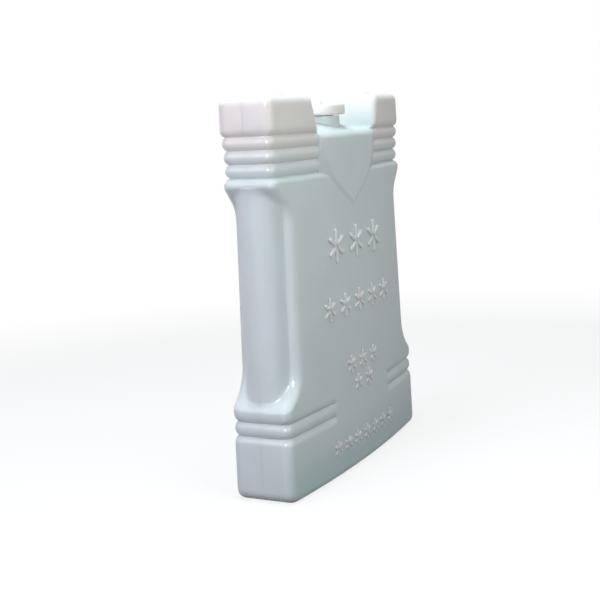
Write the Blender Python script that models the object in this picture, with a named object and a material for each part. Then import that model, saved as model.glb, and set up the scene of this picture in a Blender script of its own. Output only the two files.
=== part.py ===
# Reusable ice pack: a blow-moulded polyethylene bottle, filled for life and closed by a pressed-in plug.
# Metres. +X runs along the width, -Y is the front face, +Z is up, and the origin is the middle of the base.

import math

import bmesh
import bpy
from mathutils import Matrix, Vector

# Overall size of the bottle
SHOULDER_TOP = 0.165          # base to the top of the two shoulders
WIDTH_AT_TOP = 0.1334         # across the side faces, level with the shoulder tops
WIDTH_AT_BASE = 0.1348        # the sides draw out a little towards the base
THICKNESS_AT_TOP = 0.0315     # across the middle of the two bowed faces
THICKNESS_AT_BASE = 0.0348    # and so do the broad faces
BOW_RADIUS = 0.592            # each broad face is one shallow arc across the width
CORNER_RADIUS = 0.0045        # upright corners
LEAST_CORNER = 0.002          # upright corners where they run into a rounded upper or lower edge
FOOT_SIDE_RADIUS = 0.0048     # lower edge of the foot under the sides
FOOT_FACE_RADIUS = 0.0032     # and under the broad faces

# Grooved band under the shoulders
UPPER_VALLEY_DROP = 0.0158    # shoulder tops down to the highest groove
UPPER_VALLEY_Z = SHOULDER_TOP - UPPER_VALLEY_DROP
UPPER_PITCH = 0.00557         # groove to groove
UPPER_RIBS = 3
BAND_INSET = 0.0005           # first rib's crest, inside the shoulder's face
RIB_STEP = 0.0003             # each rib further down stands back by this much more
GROOVE_DEPTH = 0.0012         # rib crest to the bottom of a groove
GROOVE_FADE = 0.0030          # length over which a groove dies out on a broad face
GROOVE_OVERLAP = 0.0012       # how far the upper grooves run in under the shield's edge
RIB_ROUNDNESS = 0.9           # share of a half circle that a rib's section turns through

# Grooved band above the foot
LOWER_VALLEY_Z = 0.0270       # lowest groove
LOWER_PITCH = 0.0059
LOWER_RIBS = 1
LOWER_RIB_INSET = 0.0002
BAND_EDGE_HEIGHT = 0.0034     # rounded edge of the foot and the flange beside the lower grooves
PLAIN_WIDTH = 0.0545          # bare middle of the broad faces, between the lower grooves' ends

# Waist: each side is hollowed between the flange and the collar
WAIST_DEPTH = 0.0095
RIDGE_RADIUS = 0.0055         # corners of the broad faces beside the waist
FLANGE_EDGE_Z = 0.0385
FLARE_SLOPE = math.radians(50)
FLARE_RADIUS = 0.017
FLANGE_ROUND = 0.003
COLLAR_HEIGHT = 0.0028        # collar's crest below the lowest upper groove
COLLAR_EDGE_DROP = 0.0364     # shoulder tops down to the collar's lower edge
COLLAR_EDGE_Z = SHOULDER_TOP - COLLAR_EDGE_DROP
COVE_SLOPE = math.radians(45)
COVE_RADIUS = 0.012
COLLAR_ROUND = 0.002

# Half-round column that fills the middle of each waist
COLUMN_RADIUS = 0.0098
COLUMN_SETBACK = 0.0009       # crown of the column, inside the collar's side face

# Raised shield below the notch, on both broad faces
SHIELD_HALF_WIDTH = 0.0248
SHIELD_ARC_RADIUS = 0.030
SHIELD_TIP_SLOPE = math.radians(56)
SHIELD_RAISE = 0.0006
SHIELD_FLANK = 0.0013         # how far a flank spreads from the raised surface down to the face
SHIELD_SINK = 0.0002          # its top runs out this far below the notch's floor

# Notch between the shoulders
NOTCH_DEPTH = 0.0157          # shoulder tops down to its floor
FLOOR_Z = SHOULDER_TOP - NOTCH_DEPTH
LIP_RADIUS = 0.0026
NOTCH_HALF_FLOOR = 0.0282     # centre to the foot of the sloping wall
NOTCH_SLOPE = math.radians(18)
NOTCH_FILLET = 0.002
SHOULDER_EDGE_RADIUS = 0.0035
SHOULDER_UNDERCUT = 0.0028    # height of the rounded lower edge over the highest groove
UNDERCUT_TURN = math.radians(70)
SHOULDER_ROOT = 0.0016        # how far the shoulder reaches down into the bottle
INNER_CORNER_RADIUS = 0.003

# Low round pad on each shoulder
PAD_X = 0.045
PAD_RADIUS = 0.006
PAD_HEIGHT = 0.001
PAD_BEVEL = 0.0005

# Filler neck and its plug
NECK_RADIUS = 0.0101
NECK_HEIGHT = 0.0064          # above the notch's floor
NECK_TOP_Z = FLOOR_Z + NECK_HEIGHT
HUMP_HALF_WIDTH = 0.0130      # cone under the neck, stretched along the notch
HUMP_HALF_LENGTH = 0.0275
HUMP_APEX = 0.0065            # height at which its flanks would meet
HUMP_TOP_SHARE = 0.3          # it is cut off inside the neck, at this share of its plan size
BORE_RADIUS = 0.0078
BORE_DEPTH = 0.010
PLUG_CLEARANCE = 0.0003       # all round the plug, where it stands in and on the neck
FLANGE_RADIUS = 0.0126
FLANGE_THICKNESS = 0.0047
PLUG_EDGE_RADIUS = 0.0009
STEM_CHAMFER = 0.0008

# Mesh density
CORNER_STEPS = 5
SIDE_STEPS = 2
FACE_INNER_STATIONS = 7
FACE_OUTER_STATIONS = 3
SHOULDER_STATIONS = 4
GROOVE_STEPS = 4
ARC_STEPS = 5
ROUND_STEPS = 40
CLOSEST_LEVELS = 0.00035      # levels of the loft nearer than this are made one


def clear_scene():
    for thing in list(bpy.data.objects):
        bpy.data.objects.remove(thing, do_unlink=True)


def interpolate(path, position):
    """Value at a position along (position, value) points in rising order."""
    if position <= path[0][0]:
        return path[0][1]
    for (low, low_value), (high, high_value) in zip(path, path[1:]):
        if position <= high:
            share = (position - low) / (high - low)
            return low_value + share * (high_value - low_value)
    return path[-1][1]


def rounded_path(corners, steps):
    """Points along straight runs between (x, z, radius) corners, with an arc at each corner.

    An arc is made smaller where its two runs are too short for it."""
    places = [Vector(corner[:2]) for corner in corners]
    half_angles = [math.pi / 2] * len(corners)
    reaches = [0.0] * len(corners)
    for index in range(1, len(corners) - 1):
        before = places[index - 1] - places[index]
        after = places[index + 1] - places[index]
        half_angles[index] = before.angle(after) / 2
        reaches[index] = corners[index][2] / math.tan(half_angles[index])
    fits = [1.0] * len(corners)
    for index in range(len(corners) - 1):
        wanted = reaches[index] + reaches[index + 1]
        room = (places[index + 1] - places[index]).length
        share = min(1.0, room / wanted) if wanted > 0 else 1.0
        fits[index] = min(fits[index], share)
        fits[index + 1] = min(fits[index + 1], share)

    points = [places[0]]
    for index in range(1, len(corners) - 1):
        reach = reaches[index] * fits[index]
        if reach == 0:
            points.append(places[index])
            continue
        back = (places[index - 1] - places[index]).normalized()
        ahead = (places[index + 1] - places[index]).normalized()
        radius = reach * math.tan(half_angles[index])
        centre = places[index] + (back + ahead).normalized() * radius / math.sin(half_angles[index])
        start = places[index] + back * reach - centre
        turn = math.pi - 2 * half_angles[index]
        if back.x * ahead.y - back.y * ahead.x > 0:
            turn = -turn
        for step in range(steps + 1):
            spin = Matrix.Rotation(turn * step / steps, 2)
            points.append(centre + spin @ start)
    points.append(places[-1])
    return [(point.x, point.y) for point in points]


def half_width(z):
    share = 1 - z / SHOULDER_TOP
    return (WIDTH_AT_TOP + (WIDTH_AT_BASE - WIDTH_AT_TOP) * share) / 2


def half_thickness(z):
    share = 1 - z / SHOULDER_TOP
    return (THICKNESS_AT_TOP + (THICKNESS_AT_BASE - THICKNESS_AT_TOP) * share) / 2


def lower_valleys():
    return [LOWER_VALLEY_Z + LOWER_PITCH * index for index in range(LOWER_RIBS + 1)]


def upper_valleys():
    return [UPPER_VALLEY_Z - UPPER_PITCH * index for index in range(UPPER_RIBS, -1, -1)]


def relief_knots():
    """Crests and valleys of the two grooved bands from the foot up, as (z, inset, is_valley)."""
    lower = lower_valleys()
    upper = upper_valleys()

    knots = [(lower[0] - BAND_EDGE_HEIGHT, 0.0, False)]
    for z in lower:
        knots.append((z, LOWER_RIB_INSET + GROOVE_DEPTH, True))
        knots.append((z + LOWER_PITCH / 2, LOWER_RIB_INSET, False))
    knots[-1] = (lower[-1] + BAND_EDGE_HEIGHT, 0.0, False)

    knots.append((upper[0] - COLLAR_HEIGHT, BAND_INSET, False))
    for index, z in enumerate(upper):
        ribs_above = UPPER_RIBS - index
        knots.append((z, BAND_INSET + RIB_STEP * ribs_above + GROOVE_DEPTH, True))
        if ribs_above:
            knots.append((z + UPPER_PITCH / 2, BAND_INSET + RIB_STEP * (ribs_above - 1), False))
    return knots


def relief_path(steps):
    """(z, inset) along the bands: round over each crest, sharp in each valley."""
    knots = relief_knots()
    flat = math.sqrt(1 - RIB_ROUNDNESS ** 2)
    path = [(0.0, 0.0)]
    for lower, upper in zip(knots, knots[1:]):
        path.append(lower[:2])
        if lower[2] == upper[2]:
            continue
        crest, valley = (upper, lower) if lower[2] else (lower, upper)
        for step in range(1, steps):
            share = step / steps
            from_crest = 1 - share if lower[2] else share
            drop = (1 - math.sqrt(1 - (RIB_ROUNDNESS * from_crest) ** 2)) / (1 - flat)
            z = lower[0] + share * (upper[0] - lower[0])
            path.append((z, crest[1] + drop * (valley[1] - crest[1])))
    path.append(knots[-1][:2])
    path.append((FLOOR_Z, knots[-1][1]))
    return path


def level_path():
    """(z, inset) of the broad faces' bare middle, which no groove reaches."""
    flange = lower_valleys()[-1] + BAND_EDGE_HEIGHT
    collar = upper_valleys()[0] - COLLAR_HEIGHT
    return [(0.0, 0.0), (flange, 0.0), (collar, BAND_INSET), (FLOOR_Z, BAND_INSET)]


def waist_path(steps):
    """(z, inset) of the hollow in each side, from the flange's edge up to the collar's."""
    flare_rise = WAIST_DEPTH / math.tan(FLARE_SLOPE)
    cove_rise = WAIST_DEPTH / math.tan(COVE_SLOPE)
    corners = [
        (0.0, FLANGE_EDGE_Z - BAND_EDGE_HEIGHT, 0.0),
        (0.0, FLANGE_EDGE_Z, FLANGE_ROUND),
        (WAIST_DEPTH, FLANGE_EDGE_Z + flare_rise, FLARE_RADIUS),
        (WAIST_DEPTH, COLLAR_EDGE_Z - cove_rise, COVE_RADIUS),
        (0.0, COLLAR_EDGE_Z, COLLAR_ROUND),
        (0.0, COLLAR_EDGE_Z + COLLAR_HEIGHT, 0.0),
    ]
    return [(z, inset) for inset, z in rounded_path(corners, steps)]


def foot_path(radius, steps):
    """(z, inset) round the foot's lower edge."""
    path = []
    for step in range(steps + 1):
        angle = math.pi / 2 * step / steps
        path.append((radius * (1 - math.cos(angle)), radius * (1 - math.sin(angle))))
    return path


def rounded_top_path(top_z, radius, start_inset, steps):
    """(z, inset) over an upper edge of a given radius, ending on the flat."""
    path = []
    for step in range(steps + 1):
        angle = math.pi / 2 * step / steps
        path.append((top_z - radius * (1 - math.sin(angle)), start_inset + radius * (1 - math.cos(angle))))
    return path


def shield_outline(grow, steps):
    """Right half of the shield in the XZ plane, from the notch's floor down to the tip.

    The edge is moved outwards by grow."""
    centre_x = SHIELD_HALF_WIDTH - SHIELD_ARC_RADIUS
    radius = SHIELD_ARC_RADIUS + grow
    points = []
    for step in range(steps + 1):
        angle = SHIELD_TIP_SLOPE * step / steps
        points.append((centre_x + radius * math.cos(angle), FLOOR_Z - radius * math.sin(angle)))
    last_x, last_z = points[-1]
    points.append((0.0, last_z - last_x / math.tan(SHIELD_TIP_SLOPE)))
    return points


def shield_reach(z):
    """Half of the shield's width at height z."""
    falling = [(height, x) for x, height in shield_outline(0.0, ARC_STEPS * 3)]
    rising = sorted(falling)
    if z < rising[0][0]:
        return 0.0
    return interpolate(rising, z)


def groove_share(x, z):
    """How much of a groove's depth is left at x on a broad face: none in the bare middle."""
    middle = (FLANGE_EDGE_Z + COLLAR_EDGE_Z) / 2
    bare = shield_reach(z) - GROOVE_OVERLAP if z > middle else PLAIN_WIDTH / 2
    share = (abs(x) - bare) / GROOVE_FADE
    share = min(max(share, 0.0), 1.0)
    return share * share * (3 - 2 * share)


def face_y(x, z, inset):
    """The front face's y at x, moved into the bottle by inset."""
    return BOW_RADIUS - half_thickness(z) - math.sqrt((BOW_RADIUS - inset) ** 2 - x * x)


def tangent_arc(x, z, inset, radius):
    """An arc centred at x that touches the front face from inside: its centre's y, and where it touches.

    The place is the angle of the arc's normal there, from -Y towards +X."""
    reach = BOW_RADIUS - inset - radius
    centre_y = BOW_RADIUS - half_thickness(z) - math.sqrt(reach ** 2 - x ** 2)
    return centre_y, math.asin(x / reach)


def arc(centre, radius, start, end):
    """Points of an arc between two angles, counted from -Y towards +X."""
    points = []
    for step in range(CORNER_STEPS + 1):
        angle = start + (end - start) * step / CORNER_STEPS
        points.append((centre[0] + radius * math.sin(angle), centre[1] - radius * math.cos(angle)))
    return points


def outline(left, right, z, inset, radii, stations, face_inset=None):
    """Closed plan outline between two side planes and the two bowed faces, as a ring of points.

    radii are those of the left and the right corners. stations(start, end) lists the x of the
    points between them. face_inset(x) is the face's own inset, where it differs from the corners'."""
    left_x = left + radii[0]
    right_x = right - radii[1]
    left_y, left_touch = tangent_arc(left_x, z, inset, radii[0])
    right_y, right_touch = tangent_arc(right_x, z, inset, radii[1])
    left_corner = arc((left_x, left_y), radii[0], -math.pi / 2, left_touch)
    right_corner = arc((right_x, right_y), radii[1], right_touch, math.pi / 2)

    front = [(left, left_y * step / SIDE_STEPS) for step in range(SIDE_STEPS)]
    front += left_corner
    for x in stations(left_corner[-1][0], right_corner[0][0]):
        own_inset = face_inset(x) if face_inset else inset
        front.append((x, face_y(x, z, own_inset)))
    front += right_corner
    front += [(right, right_y * (1 - step / SIDE_STEPS)) for step in range(1, SIDE_STEPS + 1)]
    back = [(x, -y) for x, y in front[-2:0:-1]]
    return [Vector((x, y, z)) for x, y in front + back]


def body_stations(start, end):
    """Points across a broad face of the bottle: close together where the grooves end."""
    inner = SHIELD_HALF_WIDTH / 2
    outer = max(SHIELD_HALF_WIDTH, PLAIN_WIDTH / 2) + GROOVE_FADE
    right = [0.0]
    for index in range(FACE_INNER_STATIONS + 1):
        right.append(inner + (outer - inner) * index / FACE_INNER_STATIONS)
    for index in range(1, FACE_OUTER_STATIONS):
        right.append(outer + (end - outer) * index / FACE_OUTER_STATIONS)
    return [-x for x in reversed(right[1:])] + right


def even_stations(start, end):
    """Points across a broad face of a shoulder or a shield."""
    gaps = SHOULDER_STATIONS + 1
    return [start + (end - start) * index / gaps for index in range(1, gaps)]


def merged_levels(*paths):
    """All heights of some (z, value) paths in rising order, without near repeats."""
    heights = sorted(z for path in paths for z, _ in path)
    levels = [heights[0]]
    for z in heights[1:-1]:
        if z - levels[-1] > CLOSEST_LEVELS and heights[-1] - z > CLOSEST_LEVELS:
            levels.append(z)
    return levels + [heights[-1]]


def loft(name, rings):
    """Closed solid through rings of equally many points, with a flat cap at each end."""
    mesh = bmesh.new()
    loops = [[mesh.verts.new(point) for point in ring] for ring in rings]
    for lower, upper in zip(loops, loops[1:]):
        count = len(lower)
        for index in range(count):
            following = (index + 1) % count
            mesh.faces.new((lower[index], lower[following], upper[following], upper[index]))
    mesh.faces.new(reversed(loops[0]))
    mesh.faces.new(loops[-1])
    return add_object(name, mesh)


def turned(name, profile, x=0.0):
    """Solid of revolution about an upright axis. The (radius, z) profile starts and ends on the axis."""
    mesh = bmesh.new()
    rings = []
    for radius, z in profile[1:-1]:
        ring = []
        for step in range(ROUND_STEPS):
            angle = 2 * math.pi * step / ROUND_STEPS
            ring.append(mesh.verts.new((x + radius * math.cos(angle), radius * math.sin(angle), z)))
        rings.append(ring)
    low = mesh.verts.new((x, 0.0, profile[0][1]))
    high = mesh.verts.new((x, 0.0, profile[-1][1]))
    for step in range(ROUND_STEPS):
        following = (step + 1) % ROUND_STEPS
        mesh.faces.new((low, rings[0][following], rings[0][step]))
        for lower, upper in zip(rings, rings[1:]):
            mesh.faces.new((lower[step], lower[following], upper[following], upper[step]))
        mesh.faces.new((high, rings[-1][step], rings[-1][following]))
    return add_object(name, mesh)


def add_object(name, mesh):
    bmesh.ops.recalc_face_normals(mesh, faces=mesh.faces)
    data = bpy.data.meshes.new(name)
    mesh.to_mesh(data)
    mesh.free()
    data.shade_smooth()
    data.set_sharp_from_angle(angle=math.radians(35))
    thing = bpy.data.objects.new(name, data)
    bpy.context.scene.collection.objects.link(thing)
    return thing


def combine(target, helper, operation):
    """Boolean of a helper into the target. The helper stays in the file as a wire guide."""
    modifier = target.modifiers.new(helper.name, "BOOLEAN")
    modifier.operation = operation
    modifier.solver = "EXACT"
    modifier.object = helper
    helper.hide_render = True
    helper.display_type = "WIRE"


def make_body():
    """Main block of the bottle, from the foot up to the floor of the notch."""
    relief = relief_path(GROOVE_STEPS)
    waist = waist_path(ARC_STEPS)
    foot_side = foot_path(FOOT_SIDE_RADIUS, ARC_STEPS)
    foot_face = foot_path(FOOT_FACE_RADIUS, ARC_STEPS)
    lip = rounded_top_path(FLOOR_Z, LIP_RADIUS, 0.0, ARC_STEPS)
    level = level_path()
    rings = []
    for z in merged_levels(foot_side, foot_face, relief[1:-2], waist, lip):
        side_edge = max(interpolate(foot_side, z), interpolate(lip, z))
        edge = max(interpolate(foot_face, z), interpolate(lip, z))
        groove = interpolate(relief, z)
        bare = interpolate(level, z)
        hollow = interpolate(waist, z)
        side = half_width(z) - max(groove, side_edge) - hollow

        def face_inset(x, z=z, edge=edge, groove=groove, bare=bare):
            return max(bare + (groove - bare) * groove_share(x, z), bare + edge)

        corner = CORNER_RADIUS + (RIDGE_RADIUS - CORNER_RADIUS) * hollow / WAIST_DEPTH
        radius = max(corner - edge, LEAST_CORNER)
        rings.append(outline(-side, side, z, face_inset(side), (radius, radius), body_stations, face_inset))
    return loft("bottle", rings)


def make_columns():
    crown = half_width(COLLAR_EDGE_Z) - COLUMN_SETBACK
    low = FLANGE_EDGE_Z - FLANGE_ROUND / 2
    high = COLLAR_EDGE_Z + COLLAR_ROUND / 2
    profile = [(0.0, low), (COLUMN_RADIUS, low), (COLUMN_RADIUS, high), (0.0, high)]
    return [turned("column", profile, side * (crown - COLUMN_RADIUS)) for side in (-1, 1)]


def make_shield():
    """Raised shields of both faces: a raised copy of the bottle's middle, cut to the shield's outline."""
    raised_inset = BAND_INSET - SHIELD_RAISE
    tip_z = shield_outline(0.0, ARC_STEPS)[-1][1]
    side = SHIELD_HALF_WIDTH + 2 * SHIELD_FLANK
    over_lip = rounded_top_path(FLOOR_Z - SHIELD_SINK, LIP_RADIUS + SHIELD_RAISE, raised_inset, ARC_STEPS)
    rings = []
    for z, inset in [(tip_z - 2 * SHIELD_FLANK, raised_inset)] + over_lip:
        rings.append(outline(-side, side, z, inset, (SHIELD_FLANK, SHIELD_FLANK), even_stations))
    raised = loft("raised_middle", rings)

    reach = -face_y(0.0, FLOOR_Z, raised_inset)
    sections = []
    for share in (-1.2, 0.0, 1.2):
        grow = SHIELD_FLANK / SHIELD_RAISE * reach * (1 - abs(share))
        right = [(x, z) for x, z in shield_outline(grow, ARC_STEPS * 2)]
        right.insert(0, (right[0][0], FLOOR_Z + LIP_RADIUS))
        left = [(-x, z) for x, z in reversed(right[:-1])]
        sections.append([Vector((x, share * reach, z)) for x, z in right + left])
    shield = loft("shield", sections)
    combine(shield, raised, "INTERSECT")
    return shield


def make_shoulder(side):
    """One of the two blocks that stand either side of the notch."""
    slope_run = (SHOULDER_TOP - FLOOR_Z) * math.tan(NOTCH_SLOPE)
    wall = rounded_path([
        (NOTCH_HALF_FLOOR - NOTCH_FILLET, FLOOR_Z, 0.0),
        (NOTCH_HALF_FLOOR, FLOOR_Z, NOTCH_FILLET),
        (NOTCH_HALF_FLOOR + slope_run, SHOULDER_TOP, SHOULDER_EDGE_RADIUS),
        (NOTCH_HALF_FLOOR + slope_run + SHOULDER_EDGE_RADIUS, SHOULDER_TOP, 0.0),
    ], ARC_STEPS)
    wall = [(z, x) for x, z in wall]
    root_z = UPPER_VALLEY_Z - SHOULDER_ROOT
    valley_inset = BAND_INSET + GROOVE_DEPTH
    under = [(root_z, valley_inset + SHOULDER_ROOT)]
    for step in range(GROOVE_STEPS + 1):
        angle = UNDERCUT_TURN * (1 - step / GROOVE_STEPS)
        drop = (1 - math.cos(angle)) / (1 - math.cos(UNDERCUT_TURN))
        rise = 1 - math.sin(angle) / math.sin(UNDERCUT_TURN)
        under.append((UPPER_VALLEY_Z + SHOULDER_UNDERCUT * rise, valley_inset * drop))
    over = rounded_top_path(SHOULDER_TOP, SHOULDER_EDGE_RADIUS, 0.0, ARC_STEPS)
    rings = []
    for z in merged_levels(under, over, wall[1:-2]):
        inset = interpolate(under, z) + interpolate(over, z)
        outer = max(CORNER_RADIUS - inset, LEAST_CORNER)
        inner = max(INNER_CORNER_RADIUS - inset, LEAST_CORNER)
        near = interpolate(wall, max(z, wall[1][0]))
        ring = outline(near, half_width(z) - inset, z, inset, (inner, outer), even_stations)
        rings.append([Vector((side * point.x, point.y, point.z)) for point in ring])
    return loft("shoulder", rings)


def make_pad(side):
    top = SHOULDER_TOP + PAD_HEIGHT
    low = SHOULDER_TOP - PAD_HEIGHT
    rim = PAD_RADIUS - PAD_BEVEL
    profile = [(0.0, low), (PAD_RADIUS, low), (PAD_RADIUS, top - PAD_BEVEL), (rim, top), (0.0, top)]
    return turned("pad", profile, side * PAD_X)


def make_hump():
    """Cone that spreads from the neck along the floor of the notch."""
    low = FLOOR_Z - LIP_RADIUS
    rings = []
    top = FLOOR_Z + HUMP_APEX * (1 - HUMP_TOP_SHARE)
    for z, share in ((low, 1.0), (FLOOR_Z, 1.0), (top, HUMP_TOP_SHARE)):
        ring = []
        for step in range(ROUND_STEPS):
            angle = 2 * math.pi * step / ROUND_STEPS
            x = HUMP_HALF_LENGTH * share * math.cos(angle)
            y = HUMP_HALF_WIDTH * share * math.sin(angle)
            ring.append(Vector((x, y, z)))
        rings.append(ring)
    return loft("hump", rings)


def make_neck():
    low = FLOOR_Z - LIP_RADIUS
    return turned("neck", [(0.0, low), (NECK_RADIUS, low), (NECK_RADIUS, NECK_TOP_Z), (0.0, NECK_TOP_Z)])


def make_bore():
    low = NECK_TOP_Z - BORE_DEPTH
    high = NECK_TOP_Z + BORE_DEPTH
    return turned("bore", [(0.0, low), (BORE_RADIUS, low), (BORE_RADIUS, high), (0.0, high)])


def make_plug():
    """Flanged plug pressed into the neck for good."""
    stem = BORE_RADIUS - PLUG_CLEARANCE
    low = NECK_TOP_Z - BORE_DEPTH + PLUG_CLEARANCE
    under = NECK_TOP_Z + PLUG_CLEARANCE
    top = under + FLANGE_THICKNESS
    profile = rounded_path([
        (0.0, low, 0.0),
        (stem - STEM_CHAMFER, low, 0.0),
        (stem, low + STEM_CHAMFER, 0.0),
        (stem, under, 0.0),
        (FLANGE_RADIUS, under, PLUG_EDGE_RADIUS),
        (FLANGE_RADIUS, top, PLUG_EDGE_RADIUS),
        (0.0, top, 0.0),
    ], ARC_STEPS)
    return turned("filler_plug", profile)


def material(name, colour, roughness):
    finish = bpy.data.materials.new(name)
    finish.use_nodes = True
    shader = finish.node_tree.nodes["Principled BSDF"]
    shader.inputs["Base Color"].default_value = (*colour, 1.0)
    shader.inputs["Roughness"].default_value = roughness
    shader.inputs["Metallic"].default_value = 0.0
    return finish


def main():
    clear_scene()
    bottle = make_body()
    for column in make_columns():
        combine(bottle, column, "UNION")
    combine(bottle, make_shield(), "UNION")
    for side in (-1, 1):
        combine(bottle, make_shoulder(side), "UNION")
        combine(bottle, make_pad(side), "UNION")
    combine(bottle, make_hump(), "UNION")
    combine(bottle, make_neck(), "UNION")
    combine(bottle, make_bore(), "DIFFERENCE")
    bottle.data.materials.append(material("moulded polyethylene", (0.60, 0.68, 0.70), 0.38))

    plug = make_plug()
    plug.data.materials.append(material("white polyethylene", (0.82, 0.84, 0.82), 0.42))


main()
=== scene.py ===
# Looks of a reusable ice pack: a milky blow-moulded bottle with a pressed-in filler plug.
# Metres, +Z up, the front face towards -Y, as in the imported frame.

import math

import bmesh
import bpy
from mathutils import Matrix, Vector


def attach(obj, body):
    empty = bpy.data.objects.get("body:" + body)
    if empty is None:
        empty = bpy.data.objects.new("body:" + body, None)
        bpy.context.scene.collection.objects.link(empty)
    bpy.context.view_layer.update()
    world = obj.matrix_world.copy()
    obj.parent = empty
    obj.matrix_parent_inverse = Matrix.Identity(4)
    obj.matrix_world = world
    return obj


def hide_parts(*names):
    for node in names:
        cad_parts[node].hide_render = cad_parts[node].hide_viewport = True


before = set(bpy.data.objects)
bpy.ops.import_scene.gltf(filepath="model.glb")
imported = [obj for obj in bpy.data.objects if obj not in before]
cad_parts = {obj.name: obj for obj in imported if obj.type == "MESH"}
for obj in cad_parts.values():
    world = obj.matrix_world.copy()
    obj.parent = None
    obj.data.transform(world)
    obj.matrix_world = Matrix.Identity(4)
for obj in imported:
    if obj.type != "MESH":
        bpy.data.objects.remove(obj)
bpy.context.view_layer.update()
scene = bpy.context.scene
print("frame loaded:", ", ".join(sorted(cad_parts)))


# Camera

camera = {
    "place": (-0.45401, -0.22197, 0.15575),
    "turn": math.radians(62.768),   # from +Y towards +X
    "tilt": math.radians(-6.219),
    "roll": math.radians(3.077),
    "lens": 67.55,
    "sensor": 36,
    "shift": -0.1,
    "nearest": 0.01,                # what is closer than this is cut off
}


def makeCamera():
    turn, tilt, roll = camera["turn"], camera["tilt"], camera["roll"]
    ahead = Vector((math.sin(turn) * math.cos(tilt), math.cos(turn) * math.cos(tilt), math.sin(tilt)))
    right = Vector((math.cos(turn), -math.sin(turn), 0))
    up = right.cross(ahead)
    rolledRight = math.cos(roll) * right - math.sin(roll) * up
    rolledUp = math.sin(roll) * right + math.cos(roll) * up
    data = bpy.data.cameras.new("camera")
    data.sensor_width = camera["sensor"]
    data.lens = camera["lens"]
    data.shift_y = camera["shift"]
    data.clip_start = camera["nearest"]
    thing = bpy.data.objects.new("camera", data)
    thing.matrix_world = Matrix((rolledRight, rolledUp, -ahead)).transposed().to_4x4()
    thing.location = camera["place"]
    scene.collection.objects.link(thing)
    scene.camera = thing


makeCamera()
print("camera made")


# Nodes of materials and of geometry trees

def fromHex(code):
    # sRGB hex to the linear colour that a shader takes
    channels = [int(code[start:start + 2], 16) / 255 for start in (1, 3, 5)]
    return [c / 12.92 if c <= 0.04045 else ((c + 0.055) / 1.055) ** 2.4 for c in channels] + [1.0]


# a Mix node has sockets for each data type, and these are the ones for colours
firstColour, secondColour, mixedColour = 6, 7, 2


def feed(tree, node, inputs):
    # each input takes a value, an output, or a node, which feeds it by its first output
    for name, value in inputs.items():
        if isinstance(value, bpy.types.Node):
            value = value.outputs[0]
        if isinstance(value, bpy.types.NodeSocket):
            tree.links.new(value, node.inputs[name])
        else:
            node.inputs[name].default_value = value


def addNode(tree, kind, inputs=None, **settings):
    node = tree.nodes.new(kind)
    for name, value in settings.items():
        setattr(node, name, value)
    feed(tree, node, inputs or {})
    return node


def newMaterial(name):
    material = bpy.data.materials.new(name)
    material.use_nodes = True
    return material, material.node_tree, material.node_tree.nodes["Principled BSDF"]


# Blow-moulded polyethylene: waxy and milky, so light soaks in a little and the edges glow softly.
# The wall alone is warm white, and below the fill line the gel behind it turns it bluish.
milky = {
    "warm": "#EBE8E3", "cool": "#D9E4E4", "deep": "#CCDADA", "paintedShadeTeal": "#AECCD0",
    "fillLine": 0.150, "fillBlend": 0.018, "fillUneven": 0.02,
    "notchPaintedLight": (0.034, 0.028),   # from the middle: painted light, the gel's bluish tint put into the notch for the bluish light seen there
    # painted shade at the foot: a darker teal, by height and by distance from the middle plane
    "foot": (0.026, 0.003), "broad": (0.009, 0.015), "paintedShadeShare": 0.6,
    # sizes of the patterns: soft clouds of the uneven wall, smears that hands and shelves leave,
    # slow waves where the wall shrank as it cooled, and the fine grain of the sand-blasted mould
    "cloud": 0.021, "smear": 1 / 130, "wave": 0.014, "grain": 0.0009,
    "detail": {"cloud": 3.0, "smear": 4.0, "wave": 1.0, "grain": 2.0},
    "cloudRange": (0.45, 0.75), "cloudShare": 0.35,   # the part of the noise that shows, and how strongly
    "waveStrength": 0.35, "waveHeight": 0.0006, "grainStrength": 0.25, "grainHeight": 0.00008,
    "dullness": (0.28, 0.40),     # of the wall itself, where the smears are
    "skin": 0.4, "skinDullness": 0.16,   # the waxy skin has all of the gloss, and glints on tight corners
    # how much light soaks in, how far, and how far each colour of it goes
    "soak": 0.5, "soakDepth": 0.003, "soakColours": (0.85, 0.95, 1.0),
    "bend": 1.5,          # index of refraction
}
# a lighter copy for the raised marks: a painted highlight, standing in for the light that they catch
paintedHighlightWall = dict(milky, cool="#F4F8F6", deep="#EDF3F2", paintedShadeTeal="#DCE9EA")


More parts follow.
